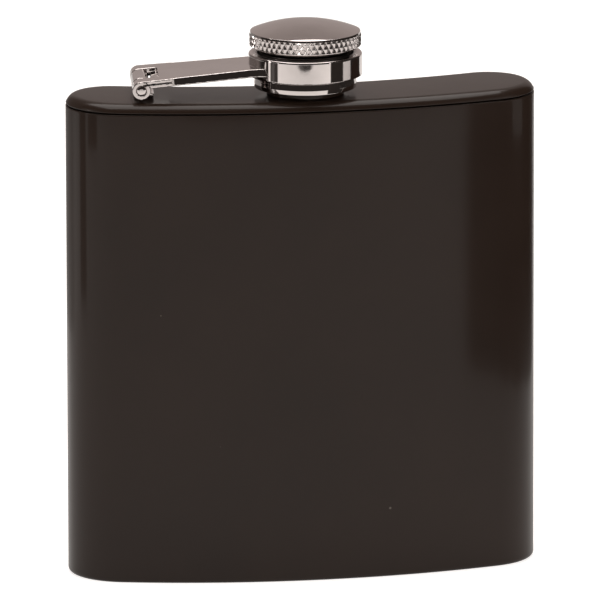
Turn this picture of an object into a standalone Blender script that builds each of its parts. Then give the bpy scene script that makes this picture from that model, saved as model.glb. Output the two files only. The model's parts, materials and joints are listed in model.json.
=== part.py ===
"""Hip flask with a screw cap that stays captive in the ring of a hinged arm.

The origin is at the middle of the bounding box's foot. +Z runs up the flask, +X along its
width and +Y from the bulging front face to the hollow back face.
"""

import math

import bmesh
import bpy

MM = 0.001

# Clearance between pieces that touch, and the one between the hinge pin and what turns on it.
GAP = 0.3 * MM
PIN_CLEARANCE = 0.15 * MM

# Body: a bent, round-ended section drawn straight up.
BODY_WIDTH = 95.25 * MM
BODY_HEIGHT = 98.35 * MM
BODY_THICKNESS = 21.1 * MM
BEND_RADIUS = 135.0 * MM
FRONT_CORNER = 12.1 * MM
SHEET = 0.6 * MM
TOP_FILLET = 2.3 * MM
SEAM_DROP = 1.8 * MM
FOOT_FILLET = 1.0 * MM
FOOT_LIP = 2.6 * MM

# Neck.
NECK_RADIUS = 6.6 * MM
NECK_WALL = 0.9 * MM
NECK_BELOW_PLATE = 2.0 * MM
NECK_CHAMFER = 0.4 * MM
COLLAR_STEP = 1.2 * MM
COLLAR_HEIGHT = 0.8 * MM

# Cap, from the bottom of its retaining flange upwards.
CAP_STANDOFF = 0.33 * MM
FLANGE_HEIGHT = 2.22 * MM
FLANGE_OVERLAP = 0.7 * MM
FLANGE_TUCK = 0.7 * MM
END_PLAY = 1.35 * MM
KNURL_HEIGHT = 3.13 * MM
DOME_RISE = 2.0 * MM
HEAD_WALL = 1.0 * MM
HEAD_CHAMFER = 0.3 * MM
CRIMP = 0.8 * MM
SPOOL_WALL = 1.0 * MM
SPOOL_RIM = 0.6 * MM
SPOOL_ROOF = 0.8 * MM
LINER_WALL = 0.9 * MM
LINER_RECESS = 0.32 * MM
GASKET_THICKNESS = 1.1 * MM
SWING_CLEARANCE = 0.15 * MM

# Arm: a strap rolled round the hinge pin at one end, with the cap's ring at the other.
RING_HEIGHT = 4.5 * MM
RING_WALL = 1.8 * MM
RING_ROUNDING = 0.8 * MM
HINGE_REACH = 32.9 * MM
ROLL_RADIUS = 1.83 * MM
ROLL_STANDOFF = 0.67 * MM
PIN_RADIUS = 1.0 * MM
STRAP_WIDTH_AT_HINGE = 17.0 * MM
STRAP_WIDTH_AT_RING = 14.2 * MM
STRAP_DEPTH = 1.6 * MM
STRAP_SHEET = 0.75 * MM
STRAP_ABOVE_RING_FOOT = 2.25 * MM
RING_FLARE = 2.0 * MM
HEM_LENGTH = 7.0 * MM
SLOT_WIDTH = 9.4 * MM
SLOT_PAST_PIN = 3.5 * MM
SLOT_CORNER = 0.8 * MM

# Hinge bracket under the arm.
BRACKET_SHEET = 0.8 * MM
BRACKET_FOOT = 2.6 * MM
BRACKET_HEEL = 1.2 * MM
BRACKET_FILLET = 0.6 * MM

# How finely round shapes are divided.
TURNED_STEPS = 40
PIN_STEPS = 20
CORNER_STEPS = 9
SIDE_STEPS = 14
FILLET_STEPS = 4
SLOT_CORNER_STEPS = 3
ROLL_STEPS = 22
KNUCKLE_STEPS = 16
DOME_STEPS = 6
DOME_INNER_STEPS = 4

# How far the cutting shapes run past what they cut.
TOOL_REACH = 10 * MM

# Heights above the top plate, worked out from the foot of the cap upwards.
COLLAR_TOP = GAP + COLLAR_HEIGHT
CAP_FOOT = COLLAR_TOP + CAP_STANDOFF
FLANGE_TOP = CAP_FOOT + FLANGE_HEIGHT
RING_FOOT = FLANGE_TOP + GAP
RING_TOP = RING_FOOT + RING_HEIGHT
HEAD_FOOT = RING_TOP + END_PLAY
HEAD_EDGE = HEAD_FOOT + KNURL_HEIGHT
DOME_TOP = HEAD_EDGE + DOME_RISE
SPOOL_CEILING = HEAD_FOOT + CRIMP + GAP
SPOOL_TOP = SPOOL_CEILING + SPOOL_ROOF
LINER_TOP = SPOOL_CEILING - GAP
LINER_CEILING = LINER_TOP - LINER_WALL
LINER_FOOT = CAP_FOOT + LINER_RECESS
GASKET_TOP = LINER_CEILING - GAP
GASKET_FOOT = GASKET_TOP - GASKET_THICKNESS
NECK_TOP = GASKET_FOOT - GAP
PIN_HEIGHT = ROLL_STANDOFF + ROLL_RADIUS

# The hinge stands on the bent centreline of the body, so the arm points a little forwards.
HINGE_BACK = BEND_RADIUS - math.sqrt(BEND_RADIUS**2 - HINGE_REACH**2)
ARM_LENGTH = math.hypot(HINGE_REACH, HINGE_BACK)
ARM_HEADING = math.atan2(-HINGE_BACK, HINGE_REACH)

# The far rim of the neck sweeps widest past the foot of the liner as the arm swings up.
LINER_BORE = (
    math.sqrt(
        (ARM_LENGTH + NECK_RADIUS) ** 2
        + (NECK_TOP - PIN_HEIGHT) ** 2
        - (LINER_FOOT - PIN_HEIGHT) ** 2
    )
    - ARM_LENGTH
    + SWING_CLEARANCE
)
LINER_RADIUS = LINER_BORE + LINER_WALL
SPOOL_BORE = LINER_RADIUS + GAP
WAIST_RADIUS = SPOOL_BORE + SPOOL_WALL
RING_BORE = WAIST_RADIUS + GAP
RING_RADIUS = RING_BORE + RING_WALL
FLANGE_RADIUS = RING_BORE + FLANGE_OVERLAP
SPOOL_RIM_RADIUS = WAIST_RADIUS + SPOOL_RIM
HEAD_BORE = SPOOL_RIM_RADIUS + GAP
HEAD_RADIUS = HEAD_BORE + HEAD_WALL
PLATE_HOLE = NECK_RADIUS + GAP


def clear_scene():
    for obj in list(bpy.data.objects):
        bpy.data.objects.remove(obj)


def paint(obj, colour, metallic, roughness):
    """Gives the object a Principled material of its own, named after it."""
    material = bpy.data.materials.new(obj.name)
    material.use_nodes = True
    shader = material.node_tree.nodes["Principled BSDF"]
    shader.inputs["Base Color"].default_value = (*colour, 1)
    shader.inputs["Metallic"].default_value = metallic
    shader.inputs["Roughness"].default_value = roughness
    obj.data.materials.append(material)


def black_paint(obj):
    paint(obj, (0.02, 0.018, 0.016), 0.0, 0.35)


def chrome(obj):
    paint(obj, (0.72, 0.68, 0.67), 1.0, 0.08)


def steel(obj):
    paint(obj, (0.6, 0.59, 0.57), 1.0, 0.3)


def silicone(obj):
    paint(obj, (0.78, 0.78, 0.74), 0.0, 0.5)


def add_empty(name, location, heading=0.0):
    empty = bpy.data.objects.new(name, None)
    empty.location = location
    empty.rotation_euler = (0, 0, heading)
    bpy.context.scene.collection.objects.link(empty)
    return empty


def add_object(name, mesh, parent=None):
    obj = bpy.data.objects.new(name, mesh)
    obj.parent = parent
    bpy.context.scene.collection.objects.link(obj)
    return obj


def finish_mesh(name, bm):
    bmesh.ops.recalc_face_normals(bm, faces=bm.faces)
    mesh = bpy.data.meshes.new(name)
    bm.to_mesh(mesh)
    bm.free()
    mesh.shade_smooth()
    mesh.set_sharp_from_angle(angle=math.radians(30))
    return mesh


def arc(centre, radius, start, end, steps):
    """Points on an arc, both ends included; angles in degrees."""
    points = []
    for i in range(steps + 1):
        angle = math.radians(start + (end - start) * i / steps)
        points.append((centre[0] + radius * math.cos(angle), centre[1] + radius * math.sin(angle)))
    return points


def section(inset):
    """Outline of the body inset from its face, before it is moved onto the origin."""
    half_thick = BODY_THICKNESS / 2
    back_corner = BODY_THICKNESS - FRONT_CORNER
    # Bending the section brings its front corners' centres to this far from the middle.
    corner_x = BODY_WIDTH / 2 - FRONT_CORNER
    corner_height = FRONT_CORNER - half_thick
    half_long = BEND_RADIUS * math.asin(corner_x / (BEND_RADIUS - corner_height)) + FRONT_CORNER
    front = FRONT_CORNER - inset
    back = back_corner - inset
    front_end = half_long - FRONT_CORNER
    back_end = half_long - back_corner
    flat = []
    for i in range(SIDE_STEPS):
        flat.append((front_end * (2 * i / SIDE_STEPS - 1), inset - half_thick))
    flat += arc((front_end, corner_height), front, -90, 0, CORNER_STEPS)
    flat += arc((back_end, corner_height), back, 0, 90, CORNER_STEPS)[1:]
    for i in range(1, SIDE_STEPS):
        flat.append((back_end * (1 - 2 * i / SIDE_STEPS), half_thick - inset))
    flat += arc((-back_end, corner_height), back, 90, 180, CORNER_STEPS)
    flat += arc((-front_end, corner_height), front, 180, 270, CORNER_STEPS)[1:-1]
    bent = []
    for along, across in flat:
        angle = along / BEND_RADIUS
        reach = BEND_RADIUS - across
        bent.append((reach * math.sin(angle), BEND_RADIUS - reach * math.cos(angle)))
    return bent


def neck_place():
    """How far behind the origin the neck's axis is; the whole flask is centred on the origin."""
    front = min(-RING_RADIUS, min(y for _, y in section(0)))
    back = max(RING_RADIUS, max(y for _, y in section(0)))
    return -(front + back) / 2


NECK_Y = neck_place()


def loft(name, stations, closed):
    """Skins section outlines at (inset, height) stations. A closed loft is a band with a hole
    through it, and an open one is capped at both ends."""
    bm = bmesh.new()
    rings = []
    for inset, height in stations:
        rings.append([bm.verts.new((x, y + NECK_Y, height)) for x, y in section(inset)])
    pairs = list(zip(rings, rings[1:]))
    if closed:
        pairs.append((rings[-1], rings[0]))
    for lower, upper in pairs:
        count = len(lower)
        for i in range(count):
            j = (i + 1) % count
            bm.faces.new((lower[i], lower[j], upper[j], upper[i]))
    if not closed:
        bm.faces.new(rings[0])
        bm.faces.new(reversed(rings[-1]))
    return finish_mesh(name, bm)


def turned(name, profile, on_axis, parent, steps=TURNED_STEPS):
    """Turns a (radius, height) profile about Z. It runs down its outer side; one that starts
    and ends on the axis stays open, and any other closes on itself."""
    bm = bmesh.new()
    points = [bm.verts.new((radius, 0, height)) for radius, height in profile]
    for start, end in zip(points, points[1:]):
        bm.edges.new((start, end))
    if not on_axis:
        bm.edges.new((points[-1], points[0]))
    mesh = bpy.data.meshes.new(name)
    bm.to_mesh(mesh)
    bm.free()
    obj = add_object(name, mesh, parent)
    screw = obj.modifiers.new("turn", "SCREW")
    screw.angle = math.tau
    screw.steps = steps
    screw.render_steps = steps
    screw.use_merge_vertices = True
    screw.merge_threshold = 0.00001
    screw.use_smooth_shade = True
    return obj


def prism(name, outline, low, high, along, parent):
    """Extrudes an outline. Along 'y' it is drawn in (x, z); along 'z' in (x, y)."""
    bm = bmesh.new()
    ends = []
    for depth in (low, high):
        if along == "y":
            ends.append([bm.verts.new((u, depth, v)) for u, v in outline])
        else:
            ends.append([bm.verts.new((u, v, depth)) for u, v in outline])
    count = len(outline)
    bm.faces.new(ends[0])
    bm.faces.new(reversed(ends[1]))
    for i in range(count):
        j = (i + 1) % count
        bm.faces.new((ends[0][j], ends[0][i], ends[1][i], ends[1][j]))
    return add_object(name, finish_mesh(name, bm), parent)


def rod(name, radius, low, high, along, centre, parent, steps):
    """A round bar about a line through centre, along Y or Z."""
    outline = arc(centre, radius, 0, 360, steps)[:-1]
    return prism(name, outline, low, high, along, parent)


def combine(obj, tool, operation):
    """Adds a Boolean. The tool isn't part of the flask, so it is kept out of renders."""
    modifier = obj.modifiers.new(tool.name, "BOOLEAN")
    modifier.operation = operation
    modifier.solver = "EXACT"
    modifier.object = tool
    tool.hide_render = True
    tool.display_type = "WIRE"


def tilted(points, angle):
    """Points turned about the pin by the strap's slope."""
    cos, sin = math.cos(angle), math.sin(angle)
    return [(x * cos - z * sin, x * sin + z * cos) for x, z in points]


def body_sleeve():
    """The drawn wall, with its foot turned in round the bottom plate."""
    stations = [(FOOT_LIP, 0)]
    stations += [
        (FOOT_FILLET + x, FOOT_FILLET + z)
        for x, z in arc((0, 0), FOOT_FILLET, 270, 180, FILLET_STEPS)
    ]
    top = BODY_HEIGHT - SEAM_DROP - GAP
    stations += [(0, top), (SHEET, top)]
    inner = FOOT_FILLET - SHEET
    stations += [
        (FOOT_FILLET + x, FOOT_FILLET + z)
        for x, z in arc((0, 0), inner, 180, 270, FILLET_STEPS // 2)
    ]
    stations += [(FOOT_LIP, SHEET)]
    black_paint(add_object("body_sleeve", loft("body_sleeve", stations, closed=True)))


def bottom_plate():
    """The flat foot, welded inside the sleeve's turned-in lip."""
    inset = FOOT_LIP + GAP
    mesh = loft("bottom_plate", [(inset, 0), (inset, SHEET)], closed=False)
    black_paint(add_object("bottom_plate", mesh))


def top_plate():
    """A shallow pressed pan that closes the sleeve, with a hole for the neck."""
    seam = BODY_HEIGHT - SEAM_DROP
    centre = BODY_HEIGHT - TOP_FILLET
    inner = TOP_FILLET - SHEET
    rise = TOP_FILLET - SEAM_DROP
    outer_start = math.degrees(math.asin(rise / TOP_FILLET))
    inner_start = math.degrees(math.asin(rise / inner))
    outer_arc = arc((0, 0), TOP_FILLET, outer_start, 90, FILLET_STEPS)
    inner_arc = arc((0, 0), inner, 90, inner_start, FILLET_STEPS)
    outside = [(TOP_FILLET - x, centre + z) for x, z in outer_arc]
    inside = [(TOP_FILLET - x, centre + z) for x, z in inner_arc]
    mesh = loft("top_plate", inside + [(SHEET, seam)] + outside, closed=False)
    plate = add_object("top_plate", mesh)
    hole = rod(
        "top_plate_hole", PLATE_HOLE, BODY_HEIGHT - TOOL_REACH, BODY_HEIGHT + TOOL_REACH,
        "z", (0, NECK_Y), None, TURNED_STEPS,
    )
    combine(plate, hole, "DIFFERENCE")
    black_paint(plate)


def neck(parent):
    """The spout: a tube through the top plate, with a collar that seats on it."""
    bore = NECK_RADIUS - NECK_WALL
    collar = NECK_RADIUS + COLLAR_STEP
    profile = [
        (bore, NECK_TOP),
        (NECK_RADIUS - NECK_CHAMFER, NECK_TOP),
        (NECK_RADIUS, NECK_TOP - NECK_CHAMFER),
        (NECK_RADIUS, COLLAR_TOP),
        (collar - NECK_CHAMFER / 2, COLLAR_TOP),
        (collar, COLLAR_TOP - NECK_CHAMFER / 2),
        (collar, GAP),
        (NECK_RADIUS, GAP),
        (NECK_RADIUS, -NECK_BELOW_PLATE),
        (bore, -NECK_BELOW_PLATE),
    ]
    black_paint(turned("neck", profile, False, parent))


def dome(edge_radius, edge_height, rise, steps):
    """Profile of a shallow dome, from the axis to its edge."""
    sphere = (edge_radius**2 + rise**2) / (2 * rise)
    half_angle = math.degrees(math.asin(edge_radius / sphere))
    centre = (0, edge_height + rise - sphere)
    return [(0, edge_height + rise)] + arc(centre, sphere, 90, 90 - half_angle, steps)[1:]


def cap_head(parent):
    """The knurled crown with its domed top, crimped in under the spool's rim."""
    profile = dome(HEAD_RADIUS - HEAD_CHAMFER, HEAD_EDGE, DOME_RISE, DOME_STEPS)
    profile += [
        (HEAD_RADIUS, HEAD_EDGE - HEAD_CHAMFER),
        (HEAD_RADIUS, HEAD_FOOT + HEAD_CHAMFER),
        (HEAD_RADIUS - HEAD_CHAMFER, HEAD_FOOT),
        (WAIST_RADIUS + GAP, HEAD_FOOT),
        (WAIST_RADIUS + GAP, HEAD_FOOT + CRIMP),
        (HEAD_BORE, HEAD_FOOT + CRIMP),
    ]
    roof = SPOOL_TOP + GAP
    inner_rise = DOME_TOP - HEAD_WALL - roof
    profile += reversed(dome(HEAD_BORE, roof, inner_rise, DOME_INNER_STEPS))
    chrome(turned("cap_head", profile, True, parent))


def cap_spool(parent):
    """The waist that turns in the arm's ring, with the flange that keeps it there."""
    foot = FLANGE_RADIUS - FLANGE_TUCK
    side = FLANGE_TOP - FLANGE_HEIGHT / 3
    profile = [
        (0, SPOOL_TOP),
        (SPOOL_RIM_RADIUS, SPOOL_TOP),
        (SPOOL_RIM_RADIUS, SPOOL_CEILING),
        (WAIST_RADIUS, SPOOL_CEILING),
        (WAIST_RADIUS, FLANGE_TOP),
        (FLANGE_RADIUS - HEAD_CHAMFER / 2, FLANGE_TOP),
        (FLANGE_RADIUS, FLANGE_TOP - HEAD_CHAMFER / 2),
    ]
    for i in range(FILLET_STEPS + 1):
        turn = math.radians(90 * i / FILLET_STEPS)
        profile.append((
            foot + FLANGE_TUCK * math.cos(turn),
            side - (side - CAP_FOOT) * math.sin(turn),
        ))
    profile += [
        (SPOOL_BORE, CAP_FOOT),
        (SPOOL_BORE, SPOOL_CEILING),
        (0, SPOOL_CEILING),
    ]
    chrome(turned("cap_spool", profile, True, parent))


def cap_liner(parent):
    """The cup inside the cap that carries the thread."""
    profile = [
        (0, LINER_TOP),
        (LINER_RADIUS, LINER_TOP),
        (LINER_RADIUS, LINER_FOOT),
        (LINER_BORE, LINER_FOOT),
        (LINER_BORE, LINER_CEILING),
        (0, LINER_CEILING),
    ]
    steel(turned("cap_liner", profile, True, parent))


def cap_gasket(parent):
    """The soft disc that seals on the neck's rim."""
    radius = LINER_BORE - GAP
    profile = [(0, GASKET_TOP), (radius, GASKET_TOP), (radius, GASKET_FOOT), (0, GASKET_FOOT)]
    silicone(turned("cap_gasket", profile, True, parent))


def strap_slope():
    """Slope of the strap's top face, which leaves the roll at a tangent and meets the ring."""
    along = ARM_LENGTH - RING_RADIUS
    up = RING_FOOT + STRAP_ABOVE_RING_FOOT - PIN_HEIGHT
    return math.atan2(up, along) - math.asin(ROLL_RADIUS / math.hypot(along, up))


def strap_half_width(along):
    """Half the strap's width at a distance from the pin towards the ring."""
    share = along / (ARM_LENGTH - RING_RADIUS)
    width = STRAP_WIDTH_AT_HINGE + share * (STRAP_WIDTH_AT_RING - STRAP_WIDTH_AT_HINGE)
    return width / 2


def strap_plan():
    """The strap from above: tapered, and flared where it runs into the ring."""
    level = STRAP_WIDTH_AT_RING / 2 + RING_FLARE
    flare_x = -math.sqrt((RING_RADIUS + RING_FLARE) ** 2 - level**2)
    end_angle = math.degrees(math.atan2(-level, -flare_x))
    flare = arc((ARM_LENGTH + flare_x, level), RING_FLARE, -90, end_angle, FILLET_STEPS)
    inside = (RING_BORE + RING_WALL / 4) / (RING_RADIUS + RING_FLARE)
    side = [(-ROLL_RADIUS - GAP, strap_half_width(0))]
    side += flare
    side += [(ARM_LENGTH + flare_x * inside, level * inside)]
    other = [(x, -y) for x, y in reversed(side)]
    return side + other


def arm(parent):
    """The pressed arm: rolled hinge ears, a strap with turned-down sides, and the cap's ring."""
    slope = strap_slope()
    underside = ROLL_RADIUS - STRAP_DEPTH
    roll_end = 360 + math.degrees(math.asin(underside / ROLL_RADIUS))
    side_view = arc((0, 0), ROLL_RADIUS, 90, roll_end, ROLL_STEPS)
    side_view += [(ARM_LENGTH - RING_BORE, underside), (ARM_LENGTH - RING_BORE, ROLL_RADIUS)]
    half_width = STRAP_WIDTH_AT_HINGE
    strap = prism("arm", tilted(side_view, slope), -half_width, half_width, "y", parent)
    plan = prism("arm_plan", strap_plan(), -TOOL_REACH, TOOL_REACH, "z", parent)
    combine(strap, plan, "INTERSECT")
    ring_low = RING_FOOT - PIN_HEIGHT
    ring_high = RING_TOP - PIN_HEIGHT
    rounding = arc(
        (RING_RADIUS - RING_ROUNDING, ring_high - RING_ROUNDING), RING_ROUNDING, 90, 0, FILLET_STEPS
    )
    ring_profile = [(0, ring_high)] + rounding
    ring_profile += [
        (RING_RADIUS, ring_low + HEAD_CHAMFER),
        (RING_RADIUS - HEAD_CHAMFER, ring_low),
        (0, ring_low),
    ]
    ring = turned("arm_ring", ring_profile, True, parent)
    ring.location.x = ARM_LENGTH
    combine(strap, ring, "UNION")
    pocket_end = ARM_LENGTH - RING_RADIUS - GAP
    wall = STRAP_SHEET
    pocket = prism(
        "arm_pocket",
        [
            (HEM_LENGTH, strap_half_width(HEM_LENGTH) - wall),
            (HEM_LENGTH, wall - strap_half_width(HEM_LENGTH)),
            (pocket_end, wall - strap_half_width(pocket_end)),
            (pocket_end, strap_half_width(pocket_end) - wall),
        ],
        -2 * STRAP_DEPTH, ROLL_RADIUS - STRAP_SHEET, "z", parent,
    )
    pocket.rotation_euler.y = -slope
    combine(strap, pocket, "DIFFERENCE")
    slot_far = SLOT_PAST_PIN - SLOT_CORNER
    slot_side = SLOT_WIDTH / 2 - SLOT_CORNER
    slot_plan = [(-2 * ROLL_RADIUS, -SLOT_WIDTH / 2)]
    slot_plan += arc((slot_far, -slot_side), SLOT_CORNER, -90, 0, SLOT_CORNER_STEPS)
    slot_plan += arc((slot_far, slot_side), SLOT_CORNER, 0, 90, SLOT_CORNER_STEPS)
    slot_plan += [(-2 * ROLL_RADIUS, SLOT_WIDTH / 2)]
    slot = prism("arm_slot", slot_plan, -2 * ROLL_RADIUS, 2 * ROLL_RADIUS, "z", parent)
    combine(strap, slot, "DIFFERENCE")
    eye = rod(
        "arm_eye", PIN_RADIUS + PIN_CLEARANCE, -half_width, half_width,
        "y", (0, 0), parent, PIN_STEPS,
    )
    combine(strap, eye, "DIFFERENCE")
    bore = rod(
        "arm_bore", RING_BORE, ring_low - RING_WALL, ring_high + RING_WALL,
        "z", (ARM_LENGTH, 0), parent, TURNED_STEPS,
    )
    combine(strap, bore, "DIFFERENCE")
    chrome(strap)


def hinge_bracket(parent):
    """A knuckle in the arm's slot, on a short stem welded to the top plate."""
    foot_low = GAP - PIN_HEIGHT
    foot_high = foot_low + BRACKET_SHEET
    corner_z = foot_high + BRACKET_FILLET
    side_view = [(-BRACKET_HEEL, foot_low), (BRACKET_FOOT, foot_low), (BRACKET_FOOT, foot_high)]
    side_view += arc(
        (ROLL_RADIUS + BRACKET_FILLET, corner_z), BRACKET_FILLET, 270, 180, FILLET_STEPS
    )
    heel_angle = 180 + math.degrees(math.acos(BRACKET_HEEL / ROLL_RADIUS))
    side_view += arc((0, 0), ROLL_RADIUS, 0, heel_angle, KNUCKLE_STEPS)
    half_width = SLOT_WIDTH / 2 - GAP
    bracket = prism("hinge_bracket", side_view, -half_width, half_width, "y", parent)
    eye = rod(
        "bracket_eye", PIN_RADIUS + PIN_CLEARANCE, -2 * half_width, 2 * half_width,
        "y", (0, 0), parent, PIN_STEPS,
    )
    combine(bracket, eye, "DIFFERENCE")
    chrome(bracket)


def hinge_pin(parent):
    half_length = strap_half_width(0)
    pin = rod(
        "hinge_pin", PIN_RADIUS, -half_length, half_length, "y", (0, 0), parent, PIN_STEPS
    )
    steel(pin)


def build():
    clear_scene()
    body_sleeve()
    bottom_plate()
    top_plate()
    neck_axis = add_empty("neck_axis", (0, NECK_Y, BODY_HEIGHT))
    neck(neck_axis)
    cap_head(neck_axis)
    cap_spool(neck_axis)
    cap_liner(neck_axis)
    cap_gasket(neck_axis)
    hinge_place = (-HINGE_REACH, NECK_Y + HINGE_BACK, BODY_HEIGHT + PIN_HEIGHT)
    hinge_axis = add_empty("hinge_axis", hinge_place, ARM_HEADING)
    hinge_bracket(hinge_axis)
    hinge_pin(hinge_axis)
    arm(hinge_axis)


build()
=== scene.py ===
"""Looks of the hip flask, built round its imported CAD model.

Every piece of the flask is made here again with a fine surface, in metres and in the frame of
the CAD. It rides on the CAD body that it belongs to and stands for its CAD node.
"""

import json
import math

import bpy
import numpy as np
from mathutils import Matrix, Vector

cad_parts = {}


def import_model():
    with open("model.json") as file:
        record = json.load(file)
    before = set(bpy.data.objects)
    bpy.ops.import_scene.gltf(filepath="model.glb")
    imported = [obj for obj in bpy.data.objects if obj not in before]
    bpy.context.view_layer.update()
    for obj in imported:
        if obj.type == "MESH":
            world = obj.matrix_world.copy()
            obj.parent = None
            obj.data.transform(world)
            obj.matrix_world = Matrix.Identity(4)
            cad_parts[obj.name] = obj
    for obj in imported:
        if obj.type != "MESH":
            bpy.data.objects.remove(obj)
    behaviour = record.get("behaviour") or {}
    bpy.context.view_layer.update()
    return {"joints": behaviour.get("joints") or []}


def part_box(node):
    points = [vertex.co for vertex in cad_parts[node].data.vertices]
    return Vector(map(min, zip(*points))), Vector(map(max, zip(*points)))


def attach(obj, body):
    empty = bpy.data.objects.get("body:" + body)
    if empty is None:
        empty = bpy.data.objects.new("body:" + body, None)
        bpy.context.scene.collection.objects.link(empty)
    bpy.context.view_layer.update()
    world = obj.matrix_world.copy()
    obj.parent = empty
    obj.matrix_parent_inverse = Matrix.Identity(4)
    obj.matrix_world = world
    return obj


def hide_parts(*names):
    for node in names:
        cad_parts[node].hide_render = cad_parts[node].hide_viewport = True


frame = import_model()

MM = 0.001

# Edge rounds that many pieces share
CRISP = 0.1 * MM
EASED = 0.15 * MM
SOFT = 0.2 * MM
FULL = 0.25 * MM


# Places and sizes read from the frame

def box_radius(node):
    """Radius of a turned node, from the width of its box."""
    low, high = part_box(node)
    return (high.x - low.x) / 2


def joint(name):
    return next(entry for entry in frame["joints"] if entry["name"] == name)


PLATE_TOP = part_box("top_plate")[1].z
NECK_Y = (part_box("neck")[0].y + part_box("neck")[1].y) / 2
NECK_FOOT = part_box("neck")[0].z
NECK_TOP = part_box("neck")[1].z
COLLAR_RADIUS = box_radius("neck")
FLANGE_RADIUS = box_radius("cap_spool")
CAP_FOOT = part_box("cap_spool")[0].z
SPOOL_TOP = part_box("cap_spool")[1].z
HEAD_RADIUS = box_radius("cap_head")
HEAD_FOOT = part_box("cap_head")[0].z
DOME_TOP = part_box("cap_head")[1].z
LINER_RADIUS = box_radius("cap_liner")
LINER_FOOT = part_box("cap_liner")[0].z
LINER_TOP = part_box("cap_liner")[1].z
GASKET_RADIUS = box_radius("cap_gasket")
GASKET_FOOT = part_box("cap_gasket")[0].z
GASKET_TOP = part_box("cap_gasket")[1].z
RING_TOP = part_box("arm")[1].z
HINGE = Vector(joint("arm_swing")["pos_m"])
HINGE_AXIS = Vector(joint("arm_swing")["axis"])
PIN_RADIUS = (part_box("hinge_pin")[1].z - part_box("hinge_pin")[0].z) / 2
GAP = 0.3 * MM
NECK_AXIS = Vector((0, NECK_Y, 0))

# The hinge frame: its origin is on the pin, x runs along the arm and y along the pin.
ARM_HEADING = math.atan2(HINGE_AXIS.x, -HINGE_AXIS.y)
ARM_LENGTH = math.hypot(HINGE.x, HINGE.y - NECK_Y)
HINGE_FRAME = Matrix.Translation(HINGE) @ Matrix.Rotation(ARM_HEADING, 4, "Z")

# Body
BODY_WIDTH = 95.25 * MM
BODY_THICKNESS = 21.1 * MM
BEND_RADIUS = 135.0 * MM
FRONT_CORNER = 12.1 * MM
SHEET = 0.6 * MM
FOOT_STEP = 0.15 * MM
FOOT_STEP_INSET = 0.8 * MM
FOOT_STEP_ROUND = 0.5 * MM
FOOT_PLATE_REACH = 4 * MM
TOP_FILLET = 2.3 * MM
SEAM_DROP = 1.8 * MM
SEAM_ROUND = 0.22 * MM
PLATE_CROWN = 0.12 * MM
FOOT_FILLET = 1.0 * MM
FOOT_LIP = 2.6 * MM
SIDE_STEPS = 90
CORNER_STEPS = 28
WALL_STEP = 8 * MM

# Neck
NECK_RADIUS = 6.6 * MM
NECK_WALL = 0.9 * MM
COLLAR_TOP = PLATE_TOP + 1.1 * MM
THREAD_PITCH = 2.2 * MM
THREAD_DEPTH = 0.5 * MM
THREAD_RISE = (0.1, 0.35)
THREAD_FALL = (0.55, 0.8)
THREAD_STEP = 0.12 * MM
LINER_THREAD_STEP = 0.2 * MM
TURN_STEPS = 128

# Cap
FLANGE_HEIGHT = 2.22 * MM
FLANGE_OVERLAP = 0.7 * MM
FLANGE_BEND = 0.95 * MM
FLANGE_LEAN = 0.2 * MM
FLANGE_TOP = CAP_FOOT + FLANGE_HEIGHT
WAIST_RADIUS = FLANGE_RADIUS - FLANGE_OVERLAP - GAP
KNURL_HEIGHT = 2.75 * MM
HEAD_EDGE = HEAD_FOOT + KNURL_HEIGHT
HEAD_WALL = 1.0 * MM
CRIMP = 0.8 * MM
SPOOL_ROOF = 0.8 * MM
SPOOL_RIM = 0.6 * MM
LINER_WALL = 0.9 * MM
DENT_DEPTH = 0.15 * MM
DENT_FLOOR = 0.3 * MM
DENT_MOUTH = 0.55 * MM
SHOULDER_ROUND = 0.08 * MM
SHOULDER_WIDTH = 0.06 * MM
SHOULDER_DROP = 0.25 * MM
FLARE_FOOT = 1.05 * MM
FLARE_WIDTH = 1.25 * MM
FLARE_LIP = 0.05 * MM
KNURL_ROWS = 56
KNURL_DEPTH = 0.32 * MM
KNURL_RISE = 2.1 * MM
KNURL_MARGIN = 0.16 * MM
KNURL_CREST = 0.2
KNURL_STEPS_ACROSS = 12
KNURL_STEPS_UP = 24
SPOOL_STEPS = 192
GASKET_STEPS = 96
KNURL_EDGE_STEP = 0.1 * MM
KNURL_EDGE_DROP = 0.18 * MM

# Arm
RING_HEIGHT = 4.5 * MM
RING_BORE = FLANGE_RADIUS - FLANGE_OVERLAP
RING_RADIUS = RING_BORE + 1.8 * MM
RING_ROUND = 0.45 * MM
RING_FLARE = 2.0 * MM
ROLL_RADIUS = 1.83 * MM
STRAP_WIDTH_AT_HINGE = 17.0 * MM
STRAP_WIDTH_AT_RING = 14.2 * MM
STRAP_ABOVE_RING_FOOT = 2.25 * MM
STRAP_DEPTH = 1.6 * MM
STRAP_SHEET = 0.75 * MM
STRAP_EDGE = 0.14 * MM
SIDE_LEAN = 0.18
HEM_LENGTH = 6.2 * MM
SLOT_WIDTH = 9.4 * MM
SLOT_PAST_PIN = 3.5 * MM
TAIL_PAST_PIN = 2.1 * MM
SLOT_CORNER = 0.8 * MM
SEAM_SLIT = 0.22 * MM
SEAM_SLIT_LIFT = 0.05 * MM
SEAM_SLIT_DEPTH = 0.5 * MM
EYE_CLEARANCE = 0.03 * MM
BRACKET_SHEET = 0.8 * MM
BRACKET_FOOT = 2.6 * MM
BRACKET_HEEL = 1.2 * MM
BRACKET_FILLET = 0.6 * MM
ARM_CELL = 0.18 * MM
BRACKET_CELL = 0.14 * MM
PIN_STEPS = 48
PEEN_RADIUS = 0.45 * MM
PEEN_RISE = 0.05 * MM
PEEN_EDGE = 0.25 * MM


# Mesh tools

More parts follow.
